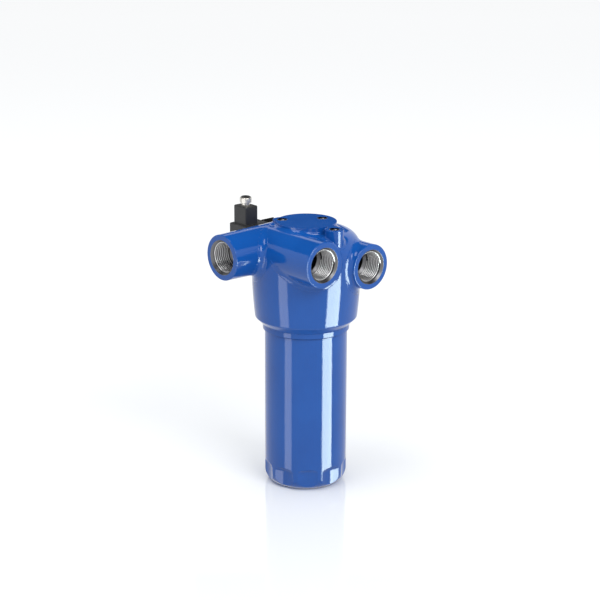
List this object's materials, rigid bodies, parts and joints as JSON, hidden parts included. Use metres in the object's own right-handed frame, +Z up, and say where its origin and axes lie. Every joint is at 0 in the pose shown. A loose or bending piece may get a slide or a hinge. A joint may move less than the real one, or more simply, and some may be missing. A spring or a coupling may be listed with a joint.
{
  "type": "return line filter",
  "caption": "Hydraulic return line filter: cast head with threaded ports and mounting pad, screw-on bowl with wrench flutes, and a clogging indicator with a square plug.",
  "frame": {"origin": "centre of the flat base of the bowl, on the bowl's axis", "axes": "+Z up along the bowl's axis; the centre and right ports face -Y and the left port faces -X"},
  "size_m": [0.1402, 0.1409, 0.2854],
  "materials": {
    "blue_paint": "gloss",
    "blue_bowl": "gloss",
    "rubber_black": "matt",
    "steel": "satin",
    "spring_steel": "satin",
    "zinc_cap": "satin",
    "filter_media": "matt",
    "brass_body": "satin",
    "black_plastic": "matt",
    "grey_plastic": "matt",
    "nickel": "gloss"
  },
  "bodies": {
    "head": {"filter_head": "blue_paint", "bypass_seat": "steel", "bypass_cage": "steel", "bypass_spring": "spring_steel", "element_top_cap": "zinc_cap", "element_bottom_cap": "zinc_cap", "element_media": "filter_media", "element_core": "steel", "element_seal": "rubber_black", "indicator_body": "brass_body", "indicator_spring": "spring_steel", "terminal_base": "black_plastic", "contact_pins": "nickel", "connector_gasket": "rubber_black", "connector_housing": "black_plastic", "terminal_block": "grey_plastic", "connector_screw": "steel", "gland_body": "nickel"},
    "bowl_ring": {"bowl_seal": "rubber_black"},
    "bowl": {"bowl": "blue_bowl", "element_spring": "spring_steel"},
    "poppet": {"bypass_poppet": "steel"},
    "piston": {"indicator_piston": "steel"},
    "gland_ring": {"gland_washer": "steel", "gland_seal": "rubber_black"},
    "nut": {"gland_nut": "nickel"}
  },
  "joints": [
    {"name": "bowl_drop", "type": "slide", "parent": "head", "child": "bowl_ring", "axis": [0, 0, 1], "range_m": [-0.0175, 0]},
    {"name": "bowl_turn", "type": "hinge", "parent": "bowl_ring", "child": "bowl", "pos_m": [0, 0, 0], "axis": [0, 0, 1], "range_deg": [-3150, 0]},
    {"name": "bypass_lift", "type": "slide", "parent": "head", "child": "poppet", "axis": [0, 0, 1], "range_m": [0, 0.005], "stiffness_N_per_m": 900, "springref_m": -0.004, "deforming": ["bypass_spring"]},
    {"name": "piston_travel", "type": "slide", "parent": "head", "child": "piston", "axis": [1, 0, 0], "range_m": [-0.003, 0], "stiffness_N_per_m": 600, "springref_m": 0.003},
    {"name": "gland_rise", "type": "slide", "parent": "head", "child": "gland_ring", "axis": [0, 0, 1], "range_m": [0, 0.0035]},
    {"name": "gland_turn", "type": "hinge", "parent": "gland_ring", "child": "nut", "pos_m": [-0.0205, 0.068, 0.282], "axis": [0, 0, 1], "range_deg": [0, 1260]}
  ],
  "couplings": [
    {"joint": "bowl_drop", "follows": "bowl_turn", "m_per_rad": 0.00031831},
    {"joint": "gland_turn", "follows": "gland_rise", "rad_per_m": 6283.2}
  ]
}
